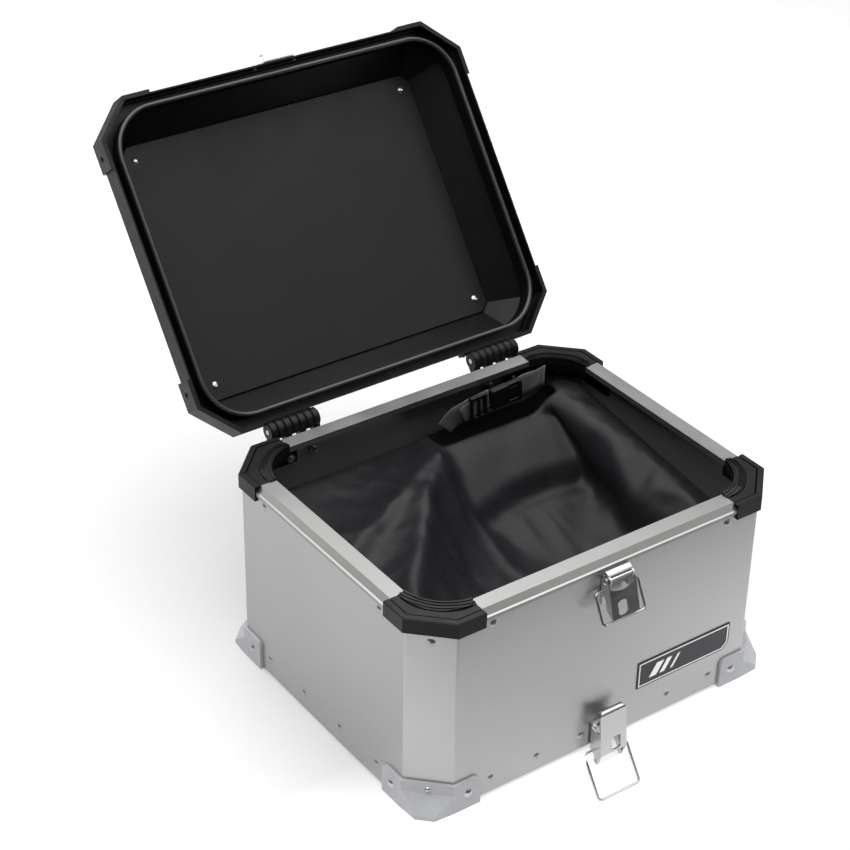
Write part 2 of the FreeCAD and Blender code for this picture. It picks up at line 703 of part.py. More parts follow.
# ---------------------------------------------------------------- rack latch
pt, pz = RACK_LATCH_PIVOT
bt, bz = RACK_BAIL_PIVOT
base_plate = side_plate(
    [(0, 8), (0, 31), (LATCH_SHEET, 31), (LATCH_SHEET, 8)], -EAR_OUT, EAR_OUT)
ear = side_plate(
    [(0, 9), (0, 28), (4, 26), (12.6, -4.0), (13.6, -9.0), (12.4, -13.0), (9.0, -14.4),
     (5.6, -13.0), (3.4, -6.0)], EAR_OUT - LATCH_SHEET, EAR_OUT)
rack_base = union([base_plate] + both_sides(ear))
pins = []
for shape in both_sides(
        union([pivot_bore(pt, pz, PIN_R, EAR_OUT - LATCH_SHEET, LATCH_HALF + 0.3),
               dome(2.7, 0.9, front_point(LATCH_HALF + 0.3, pt, pz), X_AXIS)])):
    pins.append(shape)
rack_base = rack_base.cut(Part.makeCompound(pins + latch_holes))
save("rack_latch_base", rack_base)
save("rack_latch_pins", pins)

web_top, web_low = (13.6, 43.0), (18.0, 0.0)
web = web_plate(web_top, web_low, LATCH_HALF, LATCH_SHEET)
curl_r = 4.0
curl = cylinder(curl_r, 2 * LATCH_HALF, front_point(-LATCH_HALF, web_top[0] - curl_r, 43.0),
                X_AXIS)
curl = curl.cut(cylinder(curl_r - LATCH_SHEET, 2 * LATCH_HALF,
                         front_point(-LATCH_HALF, web_top[0] - curl_r, 43.0), X_AXIS))
curl = curl.common(side_plate([(7.5, 42.6), (7.5, 50), (15, 50), (15, 42.6)],
                              -LATCH_HALF, LATCH_HALF))
lean = math.degrees(math.atan2(web_low[0] - web_top[0], web_top[1] - web_low[1]))
web = web.cut(lock_hole((17.1, 9.5), 3.2, -lean))
cheek = side_plate(
    [(2.4, 25.5), (1.6, 2.0), (1.4, -4.0), (5.0, -12.2), (12.2, -13.3), (18.0, 0.0),
     (15.3, 25.5), (9, 23.5)],
    LATCH_HALF - LATCH_SHEET, LATCH_HALF)
boss = pivot_bore(pt, pz, 4.6, LATCH_HALF - LATCH_SHEET, LATCH_HALF)
lever = union([web, curl] + both_sides(cheek.fuse(boss)))
tip_r = 5.0
tip_z = 47.0 - tip_r
tip_x = LATCH_HALF - tip_r
tip = box(tip_x, LATCH_HALF + 1, -HALF_D - 30, -HALF_D - 5, tip_z, 48.0)
tip = tip.cut(cylinder(tip_r, 40, V(tip_x, -HALF_D - 35, tip_z), Y_AXIS))
for corner in both_sides(tip):
    lever = lever.cut(corner)
lever = lever.cut(pivot_bore(pt, pz, PIN_R + WIRE_FIT, -30, 30))
lever = lever.cut(pivot_bore(bt, bz, WIRE_R + WIRE_FIT, -30, 30))
save("rack_latch_lever", lever)

bar_t, bar_z = RACK_BAIL_BAR
bail_path = [
    front_point(-inner_end, bt, bz), front_point(-BAIL_HALF, bt, bz),
    front_point(-BAIL_HALF, bar_t, bar_z), front_point(BAIL_HALF, bar_t, bar_z),
    front_point(BAIL_HALF, bt, bz), front_point(inner_end, bt, bz),
]
save("rack_latch_bail", bent_wire(bail_path, 3.6, WIRE_R))

# ---------------------------------------------------------------- hinges
pin_length = KNUCKLES * KNUCKLE
body_leaf_plate = box(HINGE_X0 + 0.2, front_run - 0.5, HALF_D, HALF_D + 3.0, 176.0, 203.0)
body_arm = [(HALF_D + 0.5, 190.0), (HALF_D + 0.5, 202.9), (HALF_D + 4.0, 203.2),
            (HINGE_Y - 6.5, 211.0), (HINGE_Y, HINGE_Z), (HINGE_Y + 4.0, 207.5),
            (HALF_D + 7.0, 196.0)]
far_arm = [(HALF_D + 3.3, 196.0), (HALF_D + 3.3, 203.0), (HINGE_Y - 6.5, 211.0),
           (HINGE_Y, HINGE_Z), (HINGE_Y + 4.0, 207.5), (HALF_D + 7.0, 198.0)]
lid_leaf_plate = box(HINGE_X0 + 0.2, front_run - 0.5, LID_HY, LID_HY + 2.8, 220.8, 233.5)
lid_arm = [(LID_HY + 0.5, 219.0), (LID_HY + 0.5, 229.0), (LID_HY + 6.5, 226.0),
           (HINGE_Y + 4.5, 219.5), (HINGE_Y, HINGE_Z), (HINGE_Y - 5.6, 218.2)]
bore = cylinder(HINGE_PIN_R + HINGE_FIT, 100, V(60, HINGE_Y, HINGE_Z), X_AXIS)
body_leaf = [body_leaf_plate]
lid_leaf = [lid_leaf_plate]
for i in range(KNUCKLES):
    x0 = HINGE_X0 + i * KNUCKLE + KNUCKLE_GAP / 2
    x1 = x0 + KNUCKLE - KNUCKLE_GAP
    barrel = cylinder(KNUCKLE_R, x1 - x0, V(x0, HINGE_Y, HINGE_Z), X_AXIS)
    barrel = barrel.makeChamfer(1.2, [e for e in barrel.Edges if e.Closed])
    if i % 2 == 0:
        body_leaf.append(barrel)
        if x1 < front_run:
            body_leaf.append(yz_plate(body_arm, x0, x1))
        else:
            body_leaf.append(yz_plate(body_arm, x0, front_run - 0.5))
            body_leaf.append(yz_plate(far_arm, x0, x1))
    else:
        lid_leaf.append(barrel)
        lid_leaf.append(yz_plate(lid_arm, x0, x1))
bolt_cutters = []
for x in BOLT_X:
    bolt_cutters.append(cylinder(BOLT_R, 30, V(x, HALF_D - 5, BOLT_Z), Y_AXIS))
    bolt_cutters.append(cylinder(5.4, 30, V(x, HALF_D + 3.0, BOLT_Z), Y_AXIS))
body_leaf = union(body_leaf).cut(bore).cut(Part.makeCompound(bolt_cutters))
lid_leaf = union(lid_leaf).cut(bore)
lid_rivet_shapes = []
lid_cutters = []
for x in (101.0 - 3.0, 121.0 - 8.0, 121.0 + 8.0, 141.0 - 0.5):
    base = V(x, LID_HY + 2.8, 231.0)
    lid_rivet_shapes.append(rivet(base, Y_AXIS, 2.8 + SHEET, 2.0, 1.0))
    lid_cutters.append(cylinder(RIVET_R, 12, base - Y_AXIS * 8, Y_AXIS))
lid_leaf = lid_leaf.cut(Part.makeCompound(lid_cutters))
pin = cylinder(HINGE_PIN_R, pin_length, V(HINGE_X0, HINGE_Y, HINGE_Z), X_AXIS)
for side, sx in (("right", 1), ("left", -1)):
    save("hinge_body_leaf_" + side, flip(body_leaf, sx, 1))
    save("hinge_lid_leaf_" + side, turn_lid(flip(lid_leaf, sx, 1)))
    save("hinge_pin_" + side, flip(pin, sx, 1))
hinge_lid_rivets = []
for shape in lid_rivet_shapes:
    hinge_lid_rivets.append(turn_lid(shape))
    hinge_lid_rivets.append(turn_lid(flip(shape, -1, 1)))
save("hinge_lid_rivets", hinge_lid_rivets)

# ---------------------------------------------------------------- lid
lid_outer = lid_prism(0, LID_LOW, LID_SLOPE_Z).fuse(octagon_loft(
    (LID_HX, LID_HY, LID_CHAMFER, LID_SLOPE_Z),
    (LID_HX - LID_INSET, LID_HY - LID_INSET, LID_TOP_CHAMFER, LID_TOP))).removeSplitter()
slope_drop = 0.6
lid_inner = lid_prism(-SHEET, LID_LOW - 1, LID_SLOPE_Z - slope_drop).fuse(octagon_loft(
    (LID_HX - SHEET, LID_HY - SHEET, LID_CHAMFER - DIAG * SHEET, LID_SLOPE_Z - slope_drop),
    (LID_HX - LID_INSET - 0.6, LID_HY - LID_INSET - 0.6, LID_TOP_CHAMFER - 0.3,
     LID_TOP - SHEET)))
lid_cut = list(lid_cutters)
for cutter in lid_cutters:
    lid_cut.append(flip(cutter, -1, 1))

# corner pieces of the lid
guard_outer = lid_prism(GUARD_T, LID_LOW, LID_SLOPE_Z + 1.2).fuse(octagon_loft(
    (LID_HX + GUARD_T, LID_HY + GUARD_T, LID_CHAMFER + DIAG * GUARD_T, LID_SLOPE_Z + 1.2),
    (LID_HX - 5.5, LID_HY - 5.5, LID_CHAMFER - 4.2, LID_SLOPE_Z + 9.6)))
lid_guard = guard_outer.cut(lid_outer)
lid_guard_rivets = []
lid_guard_holes = []


def add_lid_guard_rivet(base, out):
    lid_guard_rivets.append(rivet(base + out * GUARD_T, out, GUARD_T + SHEET, 3.4, 1.3))
    lid_guard_holes.append(hole(base, out, RIVET_R, 7.0))


for sx in (-1, 1):
    for sy in (-1, 1):
        y = LID_HY - LID_CHAMFER - 15.0
        x = LID_HX - LID_CHAMFER - 15.0
        add_lid_guard_rivet(V(sx * LID_HX, sy * y, LID_LOW + 14.0), V(sx, 0, 0))
        if sy < 0:
            add_lid_guard_rivet(V(sx * x, -LID_HY, LID_LOW + 14.0), V(0, -1, 0))
for name, (sx, sy) in CORNERS.items():
    along = WING
    region = box(LID_HX - LID_CHAMFER - along, LID_HX + 40, LID_HY - LID_CHAMFER - along,
                 LID_HY + 40, 200, 300)
    if sy > 0:
        region = region.cut(box(0, front_run + 0.3, LID_HY - 1, LID_HY + 40, 200, 300))
    piece = lid_guard.common(flip(region, sx, sy)).cut(Part.makeCompound(lid_guard_holes))
    knuckle_room = cylinder(KNUCKLE_R + 0.8, 20, V(130, HINGE_Y, HINGE_Z), X_AXIS)
    piece = piece.cut(flip(knuckle_room, sx, 1))
    save("lid_corner_" + name, turn_lid(piece))
save("lid_corner_rivets", [turn_lid(r) for r in lid_guard_rivets])

# hook on the front of the lid, which the bail pulls down on
HOOK_HALF = 17.0
HOOK_T0 = LID_HY - HALF_D
hook_sheet = 1.5
low = 210.0
j_section = [
    (HOOK_T0, 219.5), (HOOK_T0, low + 1.2), (HOOK_T0 + 1.2, low), (HOOK_T0 + 8.0, low),
    (HOOK_T0 + 9.0, low + 1.0), (HOOK_T0 + 9.0, low + 7.5), (HOOK_T0 + 7.5, low + 7.5),
    (HOOK_T0 + 7.5, low + 1.5), (HOOK_T0 + 1.5, low + 1.5), (HOOK_T0 + 1.5, 219.5),
]
hook = side_plate(j_section, -HOOK_HALF, HOOK_HALF)
flange = side_plate(
    [(HOOK_T0, 219.0), (HOOK_T0, 233.0), (HOOK_T0 + hook_sheet, 233.0),
     (HOOK_T0 + hook_sheet, 219.0)], -30.0, 30.0)
hook_holes = []
hook_rivets = []
for x in (-23.0, 23.0):
    base = front_point(x, HOOK_T0 + hook_sheet, 226.0)
    hook_rivets.append(rivet(base, V(0, -1, 0), hook_sheet + SHEET, 3.2, 1.4))
    hook_holes.append(hole(base, V(0, -1, 0), RIVET_R, 6.0))
lid_hook = union([hook, flange]).cut(Part.makeCompound(hook_holes))
save("lid_hook", turn_lid(lid_hook))
save("lid_hook_rivets", [turn_lid(r) for r in hook_rivets])

lid_shell = lid_outer.cut(lid_inner).cut(
    Part.makeCompound(lid_cut + lid_guard_holes + hook_holes))

# inner panel and its screws
panel = octagon_prism(PANEL_HX, PANEL_HY, 8.0, PANEL_Z, LID_TOP - SHEET)
screws = []
screw_holes = []
for sx in (-1, 1):
    for sy in (-1, 1):
        at = V(sx * 158.1, sy * 116.5, PANEL_Z)
        head = dome(4.0, 2.0, at, V(0, 0, -1))
        socket = cylinder(1.6, 3.0, at - Z_AXIS * 4.0, Z_AXIS)
        shank = cylinder(2.0, LID_TOP - SHEET - PANEL_Z, at, Z_AXIS)
        screws.append(turn_lid(union([head.cut(socket), shank])))
        screw_holes.append(cylinder(2.0, 20, at - Z_AXIS * 5, Z_AXIS))
save("lid_inner_panel", turn_lid(panel.cut(Part.makeCompound(screw_holes))))
save("lid_panel_screws", screws)

# frame that carries the seal
roof_z = 230.4
frame_roof = lid_prism(-SHEET, roof_z, roof_z + 2.0)
frame_edge = lid_prism(-SHEET, 225.0, roof_z + 1.0).cut(
    lid_prism(-SHEET - 2.0, 224.0, roof_z + 2.0))
frame_wall = seal_prism(FRAME_WALL / 2, SEAL_Z + 0.6, roof_z + 1.0)
frame_bore = seal_prism(-FRAME_WALL / 2, SEAL_Z - 1, roof_z + 3)
lid_frame = frame_roof.fuse(frame_edge).fuse(frame_wall).cut(frame_bore)
relief = []
for shape in lid_guard_rivets + hook_rivets + lid_rivet_shapes:
    relief.append(shape)
    relief.append(flip(shape, -1, 1))
lid_frame = lid_frame.cut(Part.makeCompound(relief))
save("lid_frame", turn_lid(lid_frame))
save("lid_shell", turn_lid(lid_shell))

seal_path = rounded_rect_wire(SEAL_X, -SEAL_FRONT, SEAL_BACK, SEAL_CORNER_R, SEAL_Z)
start = seal_path.Edges[0].valueAt(seal_path.Edges[0].FirstParameter)
circle = Part.Wire(Part.makeCircle(SEAL_R, start, X_AXIS))
seal = seal_path.makePipeShell([circle], True, True)
save("lid_seal", turn_lid(seal.cut(frame_wall.cut(frame_bore))))

# ---------------------------------------------------------------- inner bag
BAG_HX = 186.0
BAG_HY = 144.0
BAG_WALL = 4.0
BAG_LOW = BODY_LOW + SHEET + 1.0
BAG_TOP = 178.0
bag = rounded_prism(BAG_HX, -BAG_HY, BAG_HY, 40.0, BAG_LOW, BAG_TOP)
bag = bag.cut(rounded_prism(
    BAG_HX - BAG_WALL, -BAG_HY + BAG_WALL, BAG_HY - BAG_WALL, 36.0, BAG_LOW + BAG_WALL,
    BAG_TOP + 1))
save("inner_bag", bag)

strap_y = BAG_HY - 10.0
strap = union([
    box(40.0, 84.0, strap_y, strap_y + 1.6, 182.0, 202.0),
    box(126.0, 160.0, strap_y, strap_y + 1.6, 182.0, 202.0),
])
save("bag_strap", strap)
buckle = box(84.5, 125.5, strap_y - 4.0, strap_y + 5.5, 179.5, 204.5)
buckle = buckle.makeChamfer(2.0, buckle.Edges)
slot = box(84.0, 90.0, strap_y - 0.2, strap_y + 1.8, 181.5, 202.5)
buckle = buckle.cut(slot).cut(slot.translated(V(36.5, 0, 0)))
save("bag_buckle", buckle)
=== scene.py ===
import bpy
import bmesh
import json
import math
from mathutils import Vector, Matrix, noise


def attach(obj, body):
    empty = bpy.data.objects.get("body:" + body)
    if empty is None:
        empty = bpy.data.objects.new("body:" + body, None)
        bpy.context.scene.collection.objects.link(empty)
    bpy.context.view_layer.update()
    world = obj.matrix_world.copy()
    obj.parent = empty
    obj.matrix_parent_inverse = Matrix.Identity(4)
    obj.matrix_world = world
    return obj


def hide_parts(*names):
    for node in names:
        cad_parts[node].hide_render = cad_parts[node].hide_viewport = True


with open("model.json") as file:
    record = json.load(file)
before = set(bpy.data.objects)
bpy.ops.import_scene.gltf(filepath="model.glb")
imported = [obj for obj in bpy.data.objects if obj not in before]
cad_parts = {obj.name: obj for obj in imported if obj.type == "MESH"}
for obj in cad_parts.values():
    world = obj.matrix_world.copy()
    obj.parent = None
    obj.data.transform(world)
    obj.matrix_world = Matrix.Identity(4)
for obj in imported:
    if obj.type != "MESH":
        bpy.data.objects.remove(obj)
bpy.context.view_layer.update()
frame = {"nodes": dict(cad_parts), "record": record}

NODES = frame["nodes"]
SLOT_OF = {p["node"]: p["material_slot"] for p in frame["record"]["subparts"]}
FOOT = -0.004


# ------------------------------------------------------------ materials
def finish(name, color, metallic=0.0, rough=0.5, rough_var=0.05, color_var=0.06,
           scale=60.0, stretch=(1, 1, 1), bump=0.05, bump_mm=0.1, fine=None, sheen=0.0,
           spec=0.5, blotch=0.0):
    """A procedural finish: grain, blotches, uneven gloss and a fine relief."""
    mat = bpy.data.materials.new(name)
    mat.use_nodes = True
    tree = mat.node_tree
    bsdf = tree.nodes["Principled BSDF"]
    bsdf.inputs["Metallic"].default_value = metallic
    bsdf.inputs["Sheen Weight"].default_value = sheen
    bsdf.inputs["Specular IOR Level"].default_value = spec
    coord = tree.nodes.new("ShaderNodeTexCoord")
    mapping = tree.nodes.new("ShaderNodeMapping")
    mapping.inputs["Scale"].default_value = stretch
    grain = tree.nodes.new("ShaderNodeTexNoise")
    grain.inputs["Scale"].default_value = scale
    grain.inputs["Detail"].default_value = 6.0
    wide = tree.nodes.new("ShaderNodeTexNoise")
    wide.inputs["Scale"].default_value = 7.0
    wide.inputs["Detail"].default_value = 3.0
    tree.links.new(coord.outputs["Object"], mapping.inputs["Vector"])
    tree.links.new(mapping.outputs["Vector"], grain.inputs["Vector"])
    tree.links.new(coord.outputs["Object"], wide.inputs["Vector"])

    def spread(source, low, high):
        node = tree.nodes.new("ShaderNodeMapRange")
        node.inputs["From Min"].default_value = 0.3
        node.inputs["From Max"].default_value = 0.7
        node.inputs["To Min"].default_value = low
        node.inputs["To Max"].default_value = high
        tree.links.new(source, node.inputs["Value"])
        return node.outputs["Result"]

    gain = spread(grain.outputs["Fac"], 1.0 - color_var, 1.0 + color_var)
    if blotch:
        product = tree.nodes.new("ShaderNodeMath")
        product.operation = "MULTIPLY"
        tree.links.new(gain, product.inputs[0])
        tree.links.new(spread(wide.outputs["Fac"], 1.0 - blotch, 1.0 + blotch),
                       product.inputs[1])
        gain = product.outputs[0]
    tint = tree.nodes.new("ShaderNodeVectorMath")
    tint.operation = "SCALE"
    tint.inputs[0].default_value = color
    tree.links.new(gain, tint.inputs["Scale"])
    tree.links.new(tint.outputs["Vector"], bsdf.inputs["Base Color"])
    total = tree.nodes.new("ShaderNodeMath")
    total.operation = "ADD"
    tree.links.new(spread(grain.outputs["Fac"], rough - rough_var, rough + rough_var),
                   total.inputs[0])
    tree.links.new(spread(wide.outputs["Fac"], -rough_var, rough_var), total.inputs[1])
    tree.links.new(total.outputs[0], bsdf.inputs["Roughness"])
    relief = tree.nodes.new("ShaderNodeBump")
    relief.inputs["Strength"].default_value = bump
    relief.inputs["Distance"].default_value = bump_mm / 1000
    height = grain.outputs["Fac"]
    if fine:
        cells = tree.nodes.new("ShaderNodeTexVoronoi")
        cells.inputs["Scale"].default_value = fine
        tree.links.new(coord.outputs["Object"], cells.inputs["Vector"])
        height = cells.outputs["Distance"]
    tree.links.new(height, relief.inputs["Height"])
    tree.links.new(relief.outputs["Normal"], bsdf.inputs["Normal"])
    return mat


def weave(name, color, thread):
    """Woven webbing: two crossed bands of threads over a dull base."""
    mat = finish(name, color, rough=0.75, color_var=0.2, scale=500.0, sheen=0.3)
    tree = mat.node_tree
    bsdf = tree.nodes["Principled BSDF"]
    coord = tree.nodes["Texture Coordinate"]
    bands = []
    for axis in ("X", "Z"):
        band = tree.nodes.new("ShaderNodeTexWave")
        band.bands_direction = axis
        band.inputs["Scale"].default_value = thread
        tree.links.new(coord.outputs["Object"], band.inputs["Vector"])
        bands.append(band)
    both = tree.nodes.new("ShaderNodeMath")
    both.operation = "MAXIMUM"
    tree.links.new(bands[0].outputs["Fac"], both.inputs[0])
    tree.links.new(bands[1].outputs["Fac"], both.inputs[1])
    relief = tree.nodes.new("ShaderNodeBump")
    relief.inputs["Strength"].default_value = 0.6
    relief.inputs["Distance"].default_value = 0.0005
    tree.links.new(both.outputs[0], relief.inputs["Height"])
    tree.links.new(relief.outputs["Normal"], bsdf.inputs["Normal"])
    return mat


MATS = {
    "body_aluminium": finish("brushed aluminium", (0.385, 0.385, 0.387), 0.80, 0.31, 0.015, 0.015,
                             9.0, (1.0, 1.0, 60.0), 0.012, 0.02, blotch=0.03),
    "rim_aluminium": finish("anodised rim", (0.29, 0.288, 0.282), 0.95, 0.36, 0.03, 0.03,
                            30.0, (1.0, 1.0, 12.0), 0.04, 0.04),
    "stainless": finish("satin stainless", (0.50, 0.50, 0.50), 1.0, 0.33, 0.05, 0.04,
                        40.0, (1.0, 1.0, 8.0), 0.06, 0.04),
    "black_plastic": finish("black plastic", (0.004, 0.004, 0.0044), 0.0, 0.36, 0.05, 0.12,
                            90.0, (1, 1, 1), 0.10, 0.10, fine=900.0, spec=0.20),
    "grey_plastic": finish("grey plastic", (0.43, 0.435, 0.455), 0.0, 0.45, 0.05, 0.05,
                           90.0, (1, 1, 1), 0.10, 0.10, fine=900.0, blotch=0.04),
    "black_coating": finish("black coating", (0.004, 0.004, 0.0045), 0.0, 0.40, 0.04, 0.10,
                            120.0, (1, 1, 1), 0.12, 0.08, fine=1200.0, blotch=0.05, spec=0.18),
    "panel_coating": finish("satin panel", (0.008, 0.0083, 0.0092), 0.1, 0.46, 0.04, 0.06,
                            30.0, (1, 1, 1), 0.06, 0.05, blotch=0.05, spec=0.22),
    "badge_dark": finish("badge", (0.045, 0.045, 0.05), 0.8, 0.32, 0.04, 0.06,
                         60.0, (1.0, 1.0, 10.0), 0.05, 0.04),
    "badge_light": finish("badge outline", (0.75, 0.75, 0.76), 0.9, 0.28, 0.03, 0.03,
                          60.0, (1, 1, 1), 0.03, 0.03),
    "seal_rubber": finish("seal rubber", (0.020, 0.020, 0.021), 0.0, 0.34, 0.04, 0.10,
                          80.0, (1, 1, 1), 0.08, 0.08),
    "bag_fabric": finish("coated cloth", (0.009, 0.009, 0.0105), 0.0, 0.46, 0.04, 0.15,
                         260.0, (1, 1, 1), 0.20, 0.12, blotch=0.05, spec=0.19),
    "webbing": weave("webbing", (0.030, 0.030, 0.033), 260.0),
}

for node, obj in NODES.items():
    obj.data.materials.clear()
    obj.data.materials.append(MATS[SLOT_OF[node]])
    bevel = obj.modifiers.new("edge", "BEVEL")
    bevel.width = 0.00035
    bevel.segments = 2
    bevel.limit_method = "ANGLE"
    bevel.angle_limit = math.radians(35)
    bevel.harden_normals = True


# ------------------------------------------------------------ helpers
def add_mesh(name, verts, faces, mat, body, smooth=True):
    mesh = bpy.data.meshes.new(name)
    mesh.from_pydata([tuple(v) for v in verts], [], faces)
    mesh.update()
    if smooth:
        for poly in mesh.polygons:
            poly.use_smooth = True
    obj = bpy.data.objects.new(name, mesh)
    bpy.context.scene.collection.objects.link(obj)
    obj.data.materials.append(mat)
    if body:
        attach(obj, body)
    return obj


# ------------------------------------------------------------ inner bag
BAG_HX, BAG_HY, BAG_R = 0.189, 0.149, 0.045
BAG_FLOOR = 0.004
COLS, LINES = 64, 50
ROWS = 20
CACHE_END = 40
SETTLE_FRAMES = 22
RIDGE_HOLD = 0.0034      # cloth this near a ridge is held while the rest settles
LEFT_RIDGE = [(0.018, 0.112, 0.176), (-0.070, 0.058, 0.180), (-0.172, 0.010, 0.166)]
FRONT_RIDGE = [(0.018, 0.112, 0.176), (-0.064, 0.030, 0.184), (-0.160, -0.082, 0.172)]
RIGHT_RIDGE = [(0.172, 0.116, 0.186), (0.171, 0.020, 0.174), (0.168, -0.092, 0.160)]
MOUTH = (0.020, 0.158, 0.79)
BAND_LOW = 0.048         # lower edge of the flat panel that hangs from the mouth


def ease(u):
    u = min(1.0, max(0.0, u))
    return u * u * (3.0 - 2.0 * u)


def to_line(x, y, line):
    """Distance to a line in plan, its height there, and the side (left is positive)."""
    best = None
    for (x0, y0, z0), (x1, y1, z1) in zip(line, line[1:]):
        dx, dy = x1 - x0, y1 - y0
        u = min(1.0, max(0.0, ((x - x0) * dx + (y - y0) * dy) / (dx * dx + dy * dy)))
        gap = math.hypot(x - x0 - u * dx, y - y0 - u * dy)
        side = dx * (y - y0) - dy * (x - x0)
        if best is None or gap < best[0]:
            best = (gap, z0 + u * (z1 - z0), side)
    return best


def border_height(x, y):
    """Height of the bag's upper edge along the case wall."""
    left = ease((-x - 0.02) / 0.12)
    back = ease((y - 0.02) / 0.10)
    right = ease((x - 0.06) / 0.10)
    return 0.150 + 0.012 * left + 0.014 * back + 0.006 * right


def top_height(x, y, s):
    """The slack top of the bag before it settles."""
    low = 0.128 + 0.016 * ease((-0.02 - y) / 0.10)
    z = low + (border_height(x, y) - low) * ease((s - 0.62) / 0.38)
    gap1, high1, side1 = to_line(x, y, LEFT_RIDGE)
    gap2, high2, side2 = to_line(x, y, FRONT_RIDGE)
    if side1 < 0:
        z = 0.163 + (high1 - 0.163) * math.exp(-(gap1 / 0.016) ** 2)
    elif side2 < 0 and x < 0.02:
        z = max(z, min(high1, high2) - 0.010 + 0.008 * math.exp(-(gap1 / 0.006) ** 2)
                + 0.012 * math.exp(-(gap2 / 0.006) ** 2))
    z = max(z, z + (high2 - z) * math.exp(-(gap2 / 0.024) ** 2))
    if x > 0.0:
        lip = 0.166 - 0.036 * ease((0.121 - y) / 0.075)
        under = 0.112 + 0.010 * ease((0.02 - y) / 0.10)
        fold = BAND_LOW + 0.012 * math.sin((x - 0.02) * 24)
        lip = under + (lip - under) * ease((y - fold) / 0.006)
        z = z + (lip - z) * ease((x + 0.01) / 0.03)
    gap3, high3, side3 = to_line(x, y, RIGHT_RIDGE)
    reach = 0.034 if side3 < 0 else 0.040
    z = max(z, z + (high3 - z) * (1.0 - ease((gap3 - 0.012) / reach)))
    return z


def plan(i, j):
    """A grid point laid on the bag's rounded plan, with its closeness to the border."""
    u = 2.0 * i / COLS - 1.0
    v = 2.0 * j / LINES - 1.0
    x, y = BAG_HX * u, BAG_HY * v
    cx, cy = abs(x) - (BAG_HX - BAG_R), abs(y) - (BAG_HY - BAG_R)
    if cx > 0 and cy > 0:
        far = math.hypot(cx, cy)
        edge = BAG_R * far / max(cx, cy)
        pull = BAG_R / edge
        x = math.copysign(BAG_HX - BAG_R + cx * pull, x)
        y = math.copysign(BAG_HY - BAG_R + cy * pull, y)
    return x, y, max(abs(u), abs(v))


def grid_index(i, j):
    return j * (COLS + 1) + i


top = []
for j in range(LINES + 1):
    for i in range(COLS + 1):
        x, y, s = plan(i, j)
        z = top_height(x, y, s)
        calm = 0.35 if x > 0.0 and y > 0.03 else 1.0
        ripple = 0.0045 * calm * noise.noise(Vector((x * 26, y * 26, 3.1)))
        ripple += 0.0018 * calm * noise.noise(Vector((x * 70, y * 70, 1.7)))
        gap, high, side = to_line(x, y, RIGHT_RIDGE)
        if side < 0 and -0.09 < y < 0.11:
            x += 0.016 * ease((gap - 0.030) / 0.005) * (1.0 - ease((gap - 0.040) / 0.030))
        top.append(Vector((x, y, z + ripple * (1.0 - s ** 6))))


def in_mouth(i, j):
    x = BAG_HX * (2.0 * (i + 0.5) / COLS - 1.0)
    return (j + 0.5) / LINES * 2.0 - 1.0 > MOUTH[2] and MOUTH[0] < x < MOUTH[1]


top_faces = []
for j in range(LINES):
    for i in range(COLS):
        if not in_mouth(i, j):
            top_faces.append((grid_index(i, j), grid_index(i + 1, j), grid_index(i + 1, j + 1),
                              grid_index(i, j + 1)))

trial = add_mesh("trial", top, top_faces, MATS["bag_fabric"], None)
pins = trial.vertex_groups.new(name="pins")
held = []
for j in range(LINES + 1):
    for i in range(COLS + 1):
        x, y, z = top[grid_index(i, j)]
        border = i in (0, COLS) or j in (0, LINES)
        ridge = min(to_line(x, y, LEFT_RIDGE)[0], to_line(x, y, FRONT_RIDGE)[0],
                    to_line(x, y, RIGHT_RIDGE)[0]) < RIDGE_HOLD
        lip = MOUTH[0] - 0.004 < x < MOUTH[1] + 0.004 and 0.040 < y < 0.121
        if border or ridge or lip:
            held.append(grid_index(i, j))
pins.add(held, 1.0, "REPLACE")
cloth = trial.modifiers.new("cloth", "CLOTH")
cs = cloth.settings
cs.quality = 7
cs.mass = 0.25
cs.tension_stiffness = 18
cs.compression_stiffness = 18
cs.shear_stiffness = 9
cs.bending_stiffness = 0.8
cs.tension_damping = 8
cs.compression_damping = 8
cs.shear_damping = 8
cs.bending_damping = 1.0
cs.air_damping = 2.0
cs.shrink_min = -0.025
cs.vertex_group_mass = "pins"
cloth.collision_settings.use_collision = False
scene = bpy.context.scene
scene.frame_start, scene.frame_end = 1, CACHE_END
cloth.point_cache.frame_start, cloth.point_cache.frame_end = 1, CACHE_END
for f in range(1, SETTLE_FRAMES + 1):
    scene.frame_set(f)
depsgraph = bpy.context.evaluated_depsgraph_get()
top = [v.co.copy() for v in trial.evaluated_get(depsgraph).data.vertices]
scene.frame_set(1)
bpy.data.objects.remove(trial)

ring = [(i, 0) for i in range(COLS)] + [(COLS, j) for j in range(LINES)]
ring += [(i, LINES) for i in range(COLS, 0, -1)] + [(0, j) for j in range(LINES, 0, -1)]
verts = list(top)
faces = list(top_faces)
upper = [grid_index(i, j) for i, j in ring]
count = len(ring)
for k in range(1, ROWS + 1):
    first = len(verts)
    for i, j in ring:
        edge = top[grid_index(i, j)]
        drop = k / ROWS
        z = edge.z + (BAG_FLOOR - edge.z) * drop
        crease = 0.0035 * noise.noise(Vector((edge.x * 20, edge.y * 20, z * 12)))
        pull = 1.0 - (0.003 + crease) / 0.17 * ease(drop * 6)
        verts.append(Vector((edge.x * pull, edge.y * pull, z)))
    lower = list(range(first, first + count))
    for i in range(count):
        n = (i + 1) % count
        faces.append((upper[i], lower[i], lower[n], upper[n]))
    upper = lower
BOTTOM_RINGS = 7
outer = upper
